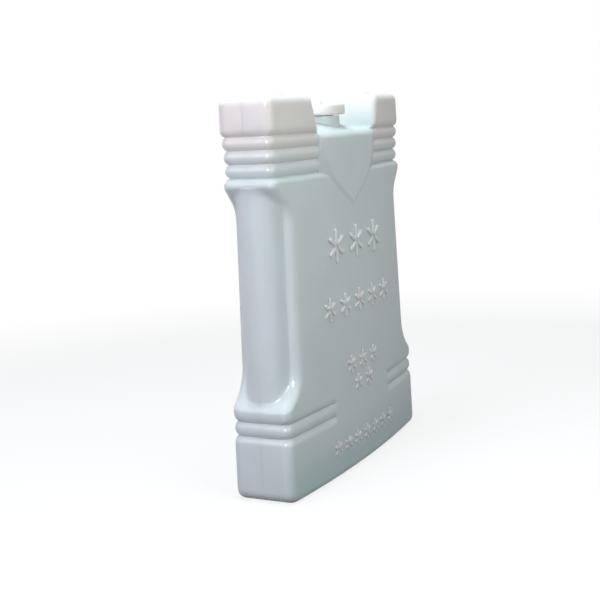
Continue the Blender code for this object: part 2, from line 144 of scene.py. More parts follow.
def makeMilkyPolyethylene(name, wall):
    material, tree, shader = newMaterial(name)
    place = addNode(tree, "ShaderNodeTexCoord").outputs["Object"]
    axes = addNode(tree, "ShaderNodeSeparateXYZ", {"Vector": place}).outputs
    across = addNode(tree, "ShaderNodeMath", {0: axes["X"]}, operation="ABSOLUTE")
    outwards = addNode(tree, "ShaderNodeMath", {0: axes["Y"]}, operation="ABSOLUTE")
    noise = {}
    for key, detail in wall["detail"].items():
        noise[key] = addNode(tree, "ShaderNodeTexNoise", {
            "Vector": place, "Scale": 1 / wall[key], "Detail": detail}).outputs["Fac"]

    # the gel's colour below an uneven fill line, and the same bluish tint painted into the notch as painted
    # light
    uneven = addNode(tree, "ShaderNodeMath", {0: noise["cloud"], 1: 0.5}, operation="SUBTRACT")
    shifted = addNode(tree, "ShaderNodeMath", {
        0: uneven, 1: wall["fillUneven"], 2: axes["Z"]}, operation="MULTIPLY_ADD")
    below = addNode(tree, "ShaderNodeMapRange", {
        "Value": shifted, "From Min": wall["fillLine"], "From Max": wall["fillLine"] - wall["fillBlend"],
    }, interpolation_type="SMOOTHSTEP")
    notchPaintedLight = addNode(tree, "ShaderNodeMapRange", {
        "Value": across, "From Min": wall["notchPaintedLight"][0], "From Max": wall["notchPaintedLight"][1],
    }, interpolation_type="SMOOTHSTEP")
    gelAndNotchLight = addNode(tree, "ShaderNodeMath", {0: below, 1: notchPaintedLight}, operation="MAXIMUM")
    gelAndNotchTone = addNode(tree, "ShaderNodeMix", {
        "Factor": gelAndNotchLight, firstColour: fromHex(wall["warm"]), secondColour: fromHex(wall["cool"]),
    }, data_type="RGBA")

    # clouds of a deeper tone
    patch = addNode(tree, "ShaderNodeMapRange", {
        "Value": noise["cloud"], "From Min": wall["cloudRange"][0], "From Max": wall["cloudRange"][1],
        "To Max": wall["cloudShare"],
    })
    clouded = addNode(tree, "ShaderNodeMix", {
        "Factor": patch, firstColour: gelAndNotchTone.outputs[mixedColour], secondColour: fromHex(wall["deep"]),
    }, data_type="RGBA")

    # painted shade: a darker teal low on the broad faces of the foot
    low = addNode(tree, "ShaderNodeMapRange", {
        "Value": axes["Z"], "From Min": wall["foot"][0], "From Max": wall["foot"][1],
        "To Max": wall["paintedShadeShare"],
    }, interpolation_type="SMOOTHSTEP")
    broad = addNode(tree, "ShaderNodeMapRange", {
        "Value": outwards, "From Min": wall["broad"][0], "From Max": wall["broad"][1],
    }, interpolation_type="SMOOTHSTEP")
    paintedShadeMask = addNode(tree, "ShaderNodeMath", {0: low, 1: broad}, operation="MULTIPLY")
    withPaintedShade = addNode(tree, "ShaderNodeMix", {
        "Factor": paintedShadeMask, firstColour: clouded.outputs[mixedColour], secondColour: fromHex(wall["paintedShadeTeal"]),
    }, data_type="RGBA")

    dull = addNode(tree, "ShaderNodeMapRange", {
        "Value": noise["smear"], "To Min": wall["dullness"][0], "To Max": wall["dullness"][1]})
    slow = addNode(tree, "ShaderNodeBump", {
        "Height": noise["wave"], "Strength": wall["waveStrength"], "Distance": wall["waveHeight"]})
    fine = addNode(tree, "ShaderNodeBump", {
        "Height": noise["grain"], "Strength": wall["grainStrength"], "Distance": wall["grainHeight"],
        "Normal": slow,
    })
    feed(tree, shader, {
        "Base Color": withPaintedShade.outputs[mixedColour], "Roughness": dull, "Normal": fine,
        "IOR": wall["bend"], "Specular IOR Level": 0.0,
        "Coat Weight": wall["skin"], "Coat Roughness": wall["skinDullness"],
        "Subsurface Weight": wall["soak"], "Subsurface Radius": wall["soakColours"],
        "Subsurface Scale": wall["soakDepth"],
    })
    return material


# Injection-moulded polyethylene: denser and whiter than the bottle, with a tighter, even sheen.
plugFinish = {
    "white": "#F7F5EF", "shade": "#EFECE4", "cloud": 0.006, "cloudDetail": 3.0, "dullness": (0.3, 0.45),
    "grain": 0.0006, "grainStrength": 0.2, "grainHeight": 0.00005,
    "soak": 0.15, "soakDepth": 0.002, "soakColours": (1.0, 0.95, 0.85), "bend": 1.5,
}


def makePlugPolyethylene():
    material, tree, shader = newMaterial("injection-moulded polyethylene")
    place = addNode(tree, "ShaderNodeTexCoord").outputs["Object"]
    cloud = addNode(tree, "ShaderNodeTexNoise", {
        "Vector": place, "Scale": 1 / plugFinish["cloud"], "Detail": plugFinish["cloudDetail"],
    }).outputs["Fac"]
    tone = addNode(tree, "ShaderNodeMix", {
        "Factor": cloud,
        firstColour: fromHex(plugFinish["white"]), secondColour: fromHex(plugFinish["shade"]),
    }, data_type="RGBA")
    dull = addNode(tree, "ShaderNodeMapRange", {
        "Value": cloud, "To Min": plugFinish["dullness"][0], "To Max": plugFinish["dullness"][1]})
    grain = addNode(tree, "ShaderNodeTexNoise", {"Vector": place, "Scale": 1 / plugFinish["grain"]})
    bump = addNode(tree, "ShaderNodeBump", {
        "Height": grain.outputs["Fac"],
        "Strength": plugFinish["grainStrength"], "Distance": plugFinish["grainHeight"],
    })
    feed(tree, shader, {
        "Base Color": tone.outputs[mixedColour], "Roughness": dull, "Normal": bump, "IOR": plugFinish["bend"],
        "Subsurface Weight": plugFinish["soak"], "Subsurface Radius": plugFinish["soakColours"],
        "Subsurface Scale": plugFinish["soakDepth"],
    })
    return material


milkyPolyethylene = makeMilkyPolyethylene("blow-moulded polyethylene", milky)
# the raised crystals get the lighter copy, a painted highlight
paintedHighlightPolyethylene = makeMilkyPolyethylene("blow-moulded polyethylene, painted highlight", paintedHighlightWall)
plugPolyethylene = makePlugPolyethylene()
print("materials made")


# Outline helpers

def interpolate(path, position):
    # value at a position along (position, value) points in rising order
    if position <= path[0][0]:
        return path[0][1]
    for (low, lowValue), (high, highValue) in zip(path, path[1:]):
        if position <= high:
            return lowValue + (position - low) / (high - low) * (highValue - lowValue)
    return path[-1][1]


def smoothStep(share):
    share = min(max(share, 0.0), 1.0)
    return share * share * (3 - 2 * share)


def smoothMax(a, b, blend):
    # the larger of two, with a fillet where they are about equal
    near = max(blend - abs(a - b), 0.0) / blend
    return max(a, b) + near * near * blend / 4


def roundedPath(corners, steps):
    # straight runs between (x, z, radius) corners, with an arc at each that is as large as its runs allow
    places = [Vector(corner[:2]) for corner in corners]
    angles = [math.pi / 2] * len(corners)
    reaches = [0.0] * len(corners)
    for index in range(1, len(corners) - 1):
        back = places[index - 1] - places[index]
        ahead = places[index + 1] - places[index]
        angles[index] = back.angle(ahead) / 2
        reaches[index] = corners[index][2] / math.tan(angles[index])
    fits = [1.0] * len(corners)
    for index in range(len(corners) - 1):
        wanted = reaches[index] + reaches[index + 1]
        room = (places[index + 1] - places[index]).length
        share = min(1.0, room / wanted) if wanted > 0 else 1.0
        fits[index] = min(fits[index], share)
        fits[index + 1] = min(fits[index + 1], share)
    points = [places[0]]
    for index in range(1, len(corners) - 1):
        reach = reaches[index] * fits[index]
        if reach == 0:
            points.append(places[index])
            continue
        back = (places[index - 1] - places[index]).normalized()
        ahead = (places[index + 1] - places[index]).normalized()
        radius = reach * math.tan(angles[index])
        centre = places[index] + (back + ahead).normalized() * radius / math.sin(angles[index])
        start = places[index] + back * reach - centre
        turn = math.pi - 2 * angles[index]
        if back.x * ahead.y - back.y * ahead.x > 0:
            turn = -turn
        for step in range(steps + 1):
            points.append(centre + Matrix.Rotation(turn * step / steps, 2) @ start)
    points.append(places[-1])
    return [(point.x, point.y) for point in points]


def withPoints(path, spacing):
    # the same path with its long runs divided
    dense = [path[0]]
    for (low, lowValue), (high, highValue) in zip(path, path[1:]):
        parts = max(1, math.ceil((high - low) / spacing))
        for part in range(1, parts + 1):
            share = part / parts
            dense.append((low + share * (high - low), lowValue + share * (highValue - lowValue)))
    return dense


# Bottle

bottle = {
    "height": 0.165, "topWidth": 0.1334, "footWidth": 0.1348, "topDepth": 0.0315, "footDepth": 0.0348,
    "bow": 0.592,         # radius of the broad faces, across the width
    "corner": 0.0045, "leastCorner": 0.002, "footSide": 0.0048, "footFace": 0.0032,
    "floor": 0.1493, "lip": 0.0026,
    "cornerSteps": 12, "sideSteps": 12, "arcSteps": 10, "spacing": 0.0025, "closest": 0.00025,
    # points across a broad face: in its bare middle, over the ends of shields and grooves, and beyond them
    "middleShare": 0.45, "middleSteps": 4, "endSteps": 28, "outerSteps": 12,
    "evenSteps": 24, "roundSteps": 96, "smoothTo": math.radians(38),
}
upperBand = {"top": 0.1492, "pitch": 0.00557, "ribs": 3, "inset": 0.0005, "step": 0.0003}
lowerBand = {"bottom": 0.0270, "pitch": 0.0059, "ribs": 1, "inset": 0.0002, "edge": 0.0034, "plain": 0.0545}
groove = {"depth": 0.0012, "fade": 0.0030, "overlap": 0.0012, "roundness": 0.9, "steps": 8}
waist = {
    "depth": 0.0095, "ridge": 0.0055,
    "flange": 0.0385, "flareSlope": math.radians(50), "flareRadius": 0.017, "flangeRound": 0.003,
    "collar": 0.1286, "collarHeight": 0.0028, "coveSlope": math.radians(45), "coveRadius": 0.012,
    "collarRound": 0.002,
}
column = {
    "radius": 0.0098, "setback": 0.0009, "blend": 0.0016,
    "sink": 2,            # how fast each end leans in, past the waist
}
shield = {
    "halfWidth": 0.0248, "arcRadius": 0.030, "tipSlope": math.radians(56),
    "rise": 0.0006, "flank": 0.0020, "sink": 0.0002, "steps": 24, "cutterReach": 1.2,
    # its border is sharp: edges of at least this angle, where one face's normal leans sideways by less
    # than flat and the other's by more than sloping
    "sharp": math.radians(8), "flat": 0.06, "sloping": 0.09,
}


def halfWidth(z):
    return (bottle["topWidth"] + (bottle["footWidth"] - bottle["topWidth"]) * (1 - z / bottle["height"])) / 2


def halfDepth(z):
    return (bottle["topDepth"] + (bottle["footDepth"] - bottle["topDepth"]) * (1 - z / bottle["height"])) / 2


def lowerValleys():
    return [lowerBand["bottom"] + lowerBand["pitch"] * index for index in range(lowerBand["ribs"] + 1)]


def upperValleys():
    return [upperBand["top"] - upperBand["pitch"] * index for index in range(upperBand["ribs"], -1, -1)]


def reliefKnots():
    # crests and valleys of both bands from the foot up, as (z, inset, isValley)
    lower, upper = lowerValleys(), upperValleys()
    knots = [(lower[0] - lowerBand["edge"], 0.0, False)]
    for z in lower:
        knots.append((z, lowerBand["inset"] + groove["depth"], True))
        knots.append((z + lowerBand["pitch"] / 2, lowerBand["inset"], False))
    knots[-1] = (lower[-1] + lowerBand["edge"], 0.0, False)
    knots.append((upper[0] - waist["collarHeight"], upperBand["inset"], False))
    for index, z in enumerate(upper):
        above = upperBand["ribs"] - index
        knots.append((z, upperBand["inset"] + upperBand["step"] * above + groove["depth"], True))
        if above:
            crest = upperBand["inset"] + upperBand["step"] * (above - 1)
            knots.append((z + upperBand["pitch"] / 2, crest, False))
    return knots


def reliefPath():
    # (z, inset) along the bands: round over each crest, sharp in each valley
    knots = reliefKnots()
    flat = math.sqrt(1 - groove["roundness"] ** 2)
    path = [(0.0, 0.0)]
    for lower, upper in zip(knots, knots[1:]):
        path.append(lower[:2])
        if lower[2] == upper[2]:
            continue
        crest, valley = (upper, lower) if lower[2] else (lower, upper)
        for step in range(1, groove["steps"]):
            share = step / groove["steps"]
            fromCrest = 1 - share if lower[2] else share
            drop = (1 - math.sqrt(1 - (groove["roundness"] * fromCrest) ** 2)) / (1 - flat)
            path.append((lower[0] + share * (upper[0] - lower[0]), crest[1] + drop * (valley[1] - crest[1])))
    return path + [knots[-1][:2], (bottle["floor"], knots[-1][1])]


def levelPath():
    # (z, inset) of the bare middle of the broad faces
    flange = lowerValleys()[-1] + lowerBand["edge"]
    collar = upperValleys()[0] - waist["collarHeight"]
    return [(0.0, 0.0), (flange, 0.0), (collar, upperBand["inset"]), (bottle["floor"], upperBand["inset"])]


def waistPath():
    # (z, inset) of the hollow in each side
    flareRise = waist["depth"] / math.tan(waist["flareSlope"])
    coveRise = waist["depth"] / math.tan(waist["coveSlope"])
    corners = [
        (0.0, waist["flange"] - lowerBand["edge"], 0.0),
        (0.0, waist["flange"], waist["flangeRound"]),
        (waist["depth"], waist["flange"] + flareRise, waist["flareRadius"]),
        (waist["depth"], waist["collar"] - coveRise, waist["coveRadius"]),
        (0.0, waist["collar"], waist["collarRound"]),
        (0.0, waist["collar"] + waist["collarHeight"], 0.0),
    ]
    return [(z, inset) for inset, z in roundedPath(corners, bottle["arcSteps"] * 2)]


def quarterPath(z, radius, upwards, steps):
    # (z, inset) over a rounded edge that ends on the flat at z
    path = []
    for step in range(steps + 1):
        angle = math.pi / 2 * step / steps
        away = radius * (1 - math.sin(angle))
        path.append((z - away if upwards else z + away, radius * (1 - math.cos(angle))))
    return path if upwards else path[::-1]


def shieldOutline(grow, steps):
    # right half of the shield, from the notch's floor down to the tip, moved outwards by grow
    centre = shield["halfWidth"] - shield["arcRadius"]
    radius = shield["arcRadius"] + grow
    points = []
    for step in range(steps + 1):
        angle = shield["tipSlope"] * step / steps
        points.append((centre + radius * math.cos(angle), bottle["floor"] - radius * math.sin(angle)))
    x, z = points[-1]
    return points + [(0.0, z - x / math.tan(shield["tipSlope"]))]


shieldEdge = sorted((z, x) for x, z in shieldOutline(0.0, shield["steps"]))


def shieldTip(grow):
    return shieldOutline(grow, 1)[-1][1]


def grooveShare(x, z):
    # how much of a groove's depth is left at x on a broad face
    if z > (waist["flange"] + waist["collar"]) / 2:
        bare = interpolate(shieldEdge, z) - groove["overlap"]
    else:
        bare = lowerBand["plain"] / 2
    return smoothStep((abs(x) - bare) / groove["fade"])


def faceY(x, z, inset):
    return bottle["bow"] - halfDepth(z) - math.sqrt((bottle["bow"] - inset) ** 2 - x * x)


def touchingArc(x, z, inset, radius):
    # an upright corner's arc that touches the front face: its centre's y, and the angle where it touches
    reach = bottle["bow"] - inset - radius
    return bottle["bow"] - halfDepth(z) - math.sqrt(reach ** 2 - x * x), math.asin(x / reach)


def arcPoints(x, y, radius, start, end):
    # angles count from -Y towards +X
    steps = bottle["cornerSteps"]
    angles = [start + (end - start) * step / steps for step in range(steps + 1)]
    return [(x + radius * math.sin(angle), y - radius * math.cos(angle)) for angle in angles]


def ringOutline(left, right, z, inset, radii, faceStations, faceInset=None):
    # plan outline between two side planes and the bowed faces, as a ring that starts on the left side
    leftX, rightX = left + radii[0], right - radii[1]
    leftY, leftTouch = touchingArc(leftX, z, inset, radii[0])
    rightY, rightTouch = touchingArc(rightX, z, inset, radii[1])
    leftArc = arcPoints(leftX, leftY, radii[0], -math.pi / 2, leftTouch)
    rightArc = arcPoints(rightX, rightY, radii[1], rightTouch, math.pi / 2)
    sideSteps = bottle["sideSteps"]
    front = [(left, leftY * step / sideSteps) for step in range(sideSteps)]
    front += leftArc
    for x in faceStations(leftArc[-1][0], rightArc[0][0]):
        front.append((x, faceY(x, z, faceInset(x) if faceInset else inset)))
    front += rightArc
    front += [(right, rightY * (1 - step / sideSteps)) for step in range(1, sideSteps + 1)]
    back = [(x, -y) for x, y in front[-2:0:-1]]
    return [Vector((x, y, z)) for x, y in front + back]


def bottleStations(_, end):
    # the same on both sides, and close together where grooves and shields end
    near = shield["halfWidth"] * bottle["middleShare"]
    far = max(shield["halfWidth"], lowerBand["plain"] / 2) + groove["fade"]
    middle, ends, outer = bottle["middleSteps"], bottle["endSteps"], bottle["outerSteps"]
    right = [near * index / middle for index in range(middle)]
    right += [near + (far - near) * index / ends for index in range(ends + 1)]
    right += [far + (end - far) * index / outer for index in range(1, outer)]
    return [-x for x in reversed(right[1:])] + right


def evenStations(start, end):
    steps = bottle["evenSteps"]
    return [start + (end - start) * index / steps for index in range(1, steps)]


def withColumn(ring):
    # the half-round column of each side, blended into the hollow that it stands in
    crown = halfWidth(waist["collar"]) - column["setback"]
    z = ring[0].z
    over = max(z - waist["collar"], waist["flange"] - waist["flangeRound"] - z, 0.0)
    centre = crown - column["radius"] - column["sink"] * over
    shaped = []
    for point in ring:
        side = abs(point.x)
        if abs(point.y) < column["radius"] and side > crown - 2 * column["radius"]:
            bulge = centre + math.sqrt(column["radius"] ** 2 - point.y ** 2)
            side = smoothMax(side, bulge, column["blend"])
        shaped.append(Vector((math.copysign(side, point.x), point.y, point.z)))
    return shaped


def mergedLevels(*paths):
    heights = sorted(z for path in paths for z, _ in path)
    levels = [heights[0]]
    for z in heights[1:-1]:
        if z - levels[-1] > bottle["closest"] and heights[-1] - z > bottle["closest"]:
            levels.append(z)
    return levels + [heights[-1]]


def meshObject(name, mesh):
    bmesh.ops.recalc_face_normals(mesh, faces=mesh.faces)
    data = bpy.data.meshes.new(name)
    mesh.to_mesh(data)
    mesh.free()
    thing = bpy.data.objects.new(name, data)
    scene.collection.objects.link(thing)
    return thing


def loftObject(name, rings):
    # closed solid through rings of equally many points, with a flat cap at each end
    mesh = bmesh.new()
    loops = [[mesh.verts.new(point) for point in ring] for ring in rings]
    for lower, upper in zip(loops, loops[1:]):
        for index in range(len(lower)):
            after = (index + 1) % len(lower)
            mesh.faces.new((lower[index], lower[after], upper[after], upper[index]))
    mesh.faces.new(reversed(loops[0]))
    mesh.faces.new(loops[-1])
    return meshObject(name, mesh)


def circleRing(radius, z, x=0.0):
    steps = bottle["roundSteps"]
    angles = [2 * math.pi * step / steps for step in range(steps)]
    return [Vector((x + radius * math.cos(angle), radius * math.sin(angle), z)) for angle in angles]


def makeBody():
    relief, hollowPath, level = reliefPath(), waistPath(), levelPath()
    footSide = quarterPath(0.0, bottle["footSide"], False, bottle["arcSteps"])
    footFace = quarterPath(0.0, bottle["footFace"], False, bottle["arcSteps"])
    lip = quarterPath(bottle["floor"], bottle["lip"], True, bottle["arcSteps"])
    rings = []
    for z in mergedLevels(footSide, footFace, relief[1:-2], withPoints(hollowPath, bottle["spacing"]), lip):
        sideEdge = max(interpolate(footSide, z), interpolate(lip, z))
        edge = max(interpolate(footFace, z), interpolate(lip, z))
        cutIn = interpolate(relief, z)
        bare = interpolate(level, z)
        hollow = interpolate(hollowPath, z)
        side = halfWidth(z) - max(cutIn, sideEdge) - hollow
        corner = bottle["corner"] + (waist["ridge"] - bottle["corner"]) * hollow / waist["depth"]
        radius = max(corner - edge, bottle["leastCorner"])

        def faceInset(x, z=z, edge=edge, cutIn=cutIn, bare=bare):
            return max(bare + (cutIn - bare) * grooveShare(x, z), bare + edge)

        ring = ringOutline(-side, side, z, faceInset(side), (radius, radius), bottleStations, faceInset)
        rings.append(withColumn(ring))
    return loftObject("bottle_shell", rings)


def makeShield():
    # a raised copy of the bottle's middle, cut to the shield's outline, for both faces at once
    raised = upperBand["inset"] - shield["rise"]
    side = shield["halfWidth"] + 2 * shield["flank"]
    top, lip = bottle["floor"] - shield["sink"], bottle["lip"] + shield["rise"]
    path = [(shieldTip(0.0) - 2 * shield["flank"], 0.0)] + quarterPath(top, lip, True, bottle["arcSteps"])
    rings = []
    for z, away in withPoints(path, bottle["spacing"]):
        radii = (shield["flank"], shield["flank"])
        rings.append(ringOutline(-side, side, z, raised + away, radii, evenStations))
    middle = loftObject("raised_middle", rings)

    reach = -faceY(0.0, bottle["floor"], raised)
    sections = []
    for share in (-shield["cutterReach"], 0.0, shield["cutterReach"]):
        grow = shield["flank"] / shield["rise"] * reach * (1 - abs(share))
        right = shieldOutline(grow, shield["steps"])
        right.insert(0, (right[0][0], bottle["floor"] + bottle["lip"]))
        left = [(-x, z) for x, z in reversed(right[:-1])]
        sections.append([Vector((x, share * reach, z)) for x, z in right + left])
    cutter = loftObject("shield", sections)
    combine(cutter, middle, "INTERSECT")
    return cutter


def combine(target, helper, operation):
    modifier = target.modifiers.new(helper.name, "BOOLEAN")
    modifier.operation = operation
    modifier.solver = "EXACT"
    modifier.object = helper
    flatten(target)
    bpy.data.objects.remove(helper, do_unlink=True)


def flatten(thing):
    # puts the result of the modifiers into the mesh
    graph = bpy.context.evaluated_depsgraph_get()
    result = bpy.data.meshes.new_from_object(thing.evaluated_get(graph))
    thing.modifiers.clear()
    thing.data = result


# Shoulders either side of the notch, each with a low round pad

shoulder = {
    "halfFloor": 0.0282, "slope": math.radians(18), "fillet": 0.002, "edge": 0.0035,
    "undercut": 0.0028, "undercutTurn": math.radians(70), "root": 0.0016, "innerCorner": 0.003,
    "padPlace": 0.045, "padRadius": 0.006, "padHeight": 0.001, "padBevel": 0.0005, "padSteps": 5,
}


def notchWall():
    run = (bottle["height"] - bottle["floor"]) * math.tan(shoulder["slope"])
    foot, head = shoulder["halfFloor"], shoulder["halfFloor"] + run
    corners = [
        (foot - shoulder["fillet"], bottle["floor"], 0.0),
        (foot, bottle["floor"], shoulder["fillet"]),
        (head, bottle["height"], shoulder["edge"]),
        (head + shoulder["edge"], bottle["height"], 0.0),
    ]
    return [(z, x) for x, z in roundedPath(corners, bottle["arcSteps"])]


def shoulderSide():
    # (z, inset) of the shoulder's outer faces, from its root in the bottle up to its flat top
    valley = upperBand["inset"] + groove["depth"]
    turn = shoulder["undercutTurn"]
    path = [(upperBand["top"] - shoulder["root"], valley + shoulder["root"])]
    for step in range(groove["steps"] + 1):
        angle = turn * (1 - step / groove["steps"])
        drop = (1 - math.cos(angle)) / (1 - math.cos(turn))
        rise = 1 - math.sin(angle) / math.sin(turn)
        path.append((upperBand["top"] + shoulder["undercut"] * rise, valley * drop))
    return path + quarterPath(bottle["height"], shoulder["edge"], True, bottle["arcSteps"])


def makeShoulder(side):
    wall = notchWall()
    outside = shoulderSide()
    rings = []
    for z in mergedLevels(outside, withPoints(wall[1:-2], bottle["spacing"])):
        inset = interpolate(outside, z)
        outer = max(bottle["corner"] - inset, bottle["leastCorner"])
        inner = max(shoulder["innerCorner"] - inset, bottle["leastCorner"])
        near = interpolate(wall, max(z, wall[1][0]))
        ring = ringOutline(near, halfWidth(z) - inset, z, inset, (inner, outer), evenStations)
        rings.append([Vector((side * point.x, point.y, point.z)) for point in ring])
    return loftObject("shoulder", rings)


def makePad(side):
    top, radius, bevel = bottle["height"] + shoulder["padHeight"], shoulder["padRadius"], shoulder["padBevel"]
    profile = [(radius, bottle["height"] - shoulder["padHeight"]), (radius, bottle["height"])]
    profile += [(radius - inset, z) for z, inset in quarterPath(top, bevel, True, shoulder["padSteps"])]
    return loftObject("pad", [circleRing(r, z, side * shoulder["padPlace"]) for r, z in profile])


# Neck on its long cone, and the bore that takes the plug's stem

neck = {
    "radius": 0.0101, "top": 0.1557, "bore": 0.0078, "boreDepth": 0.010, "blend": 0.0008,
    # the cone at the notch's floor, the height where it would end, and the share of it that is always left
    "halfLength": 0.0275, "halfWidth": 0.0130, "apex": 0.0065, "least": 0.02, "levels": 16,
}


def makeNeck():
    low, floor = bottle["floor"] - bottle["lip"], bottle["floor"]
    levels, steps = neck["levels"], bottle["roundSteps"]
    heights = [low] + [floor + (neck["top"] - floor) * step / levels for step in range(levels + 1)]
    rings = []
    for z in heights:
        share = max(1 - max(z - floor, 0.0) / neck["apex"], neck["least"])
        ring = []
        for step in range(steps):
            angle = 2 * math.pi * step / steps
            along, across = math.cos(angle) / neck["halfLength"], math.sin(angle) / neck["halfWidth"]
            cone = share / math.hypot(along, across)
            radius = smoothMax(cone, neck["radius"], neck["blend"]) if z > floor else cone
            ring.append(Vector((radius * math.cos(angle), radius * math.sin(angle), z)))
        rings.append(ring)
    return loftObject("neck", rings)


def sharpenShield(data):
    # the low shield keeps crisp borders, where its sloping flank meets a face that is nearly flat
    margin = 2 * shield["flank"]
    tip = shieldTip(margin)
    mesh = bmesh.new()
    mesh.from_mesh(data)
    for edge in mesh.edges:
        middle = (edge.verts[0].co + edge.verts[1].co) / 2
        if not tip < middle.z < bottle["floor"] or abs(middle.x) > shield["halfWidth"] + margin:
            continue
        if edge.is_manifold and edge.calc_face_angle() > shield["sharp"]:
            flat, sloping = sorted(abs(face.normal.x) for face in edge.link_faces)
            if flat < shield["flat"] and sloping > shield["sloping"]:
                edge.smooth = False
    mesh.to_mesh(data)
    mesh.free()


def makeBottle():
    body = makeBody()
    combine(body, makeShield(), "UNION")
    for side in (-1, 1):
        combine(body, makeShoulder(side), "UNION")
        combine(body, makePad(side), "UNION")
    combine(body, makeNeck(), "UNION")
    depth = neck["boreDepth"]
    bore = loftObject("bore", [circleRing(neck["bore"], neck["top"] + rise) for rise in (-depth, depth)])
    combine(body, bore, "DIFFERENCE")
    body.data.materials.clear()
    body.data.materials.append(milkyPolyethylene)
    body.data.shade_smooth()
    body.data.set_sharp_from_angle(angle=bottle["smoothTo"])
    sharpenShield(body.data)
    return body


bottleShell = makeBottle()
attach(bottleShell, "root")
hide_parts("bottle")
print("bottle made:", len(bottleShell.data.polygons), "faces")


# Relief on the front face: rows of snow crystals with six plain arms, in the bare places between the bands

crystals = {
    # height, how many, gap and radius of each row
    "rows": [(0.1000, 3, 0.0200, 0.0075), (0.0735, 5, 0.0145, 0.0054), (0.0465, 3, 0.0120, 0.0042),
             (0.0370, 2, 0.0120, 0.0042), (0.0130, 7, 0.0096, 0.0037)],
    "arms": 6,
    "leastStroke": 0.00055, "strokeShare": 0.062,   # half of an arm's width, which grows with its length
    "rise": 0.60,         # height of an arm, as a share of half its width
    "armPoints": 28, "sectionPoints": 12,
    "endRound": 1.0005,   # a little over 1, so that an arm's round end doesn't close to a point
}


def newTree(name, inputs):
    tree = bpy.data.node_groups.new(name, "GeometryNodeTree")
    tree.interface.new_socket("Geometry", in_out="INPUT", socket_type="NodeSocketGeometry")
    tree.interface.new_socket("Geometry", in_out="OUTPUT", socket_type="NodeSocketGeometry")
    for label, kind in inputs.items():
        tree.interface.new_socket(label, in_out="INPUT", socket_type="NodeSocket" + kind)
    return tree, addNode(tree, "NodeGroupInput").outputs, addNode(tree, "NodeGroupOutput")


def runTree(thing, tree, values):
    # sets the inputs by their identifiers, then makes the result a plain mesh
    modifier = thing.modifiers.new(tree.name, "NODES")
    modifier.node_group = tree
    for item in tree.interface.items_tree:
        if item.in_out == "INPUT" and item.name in values:
            modifier[item.identifier] = values[item.name]
    flatten(thing)


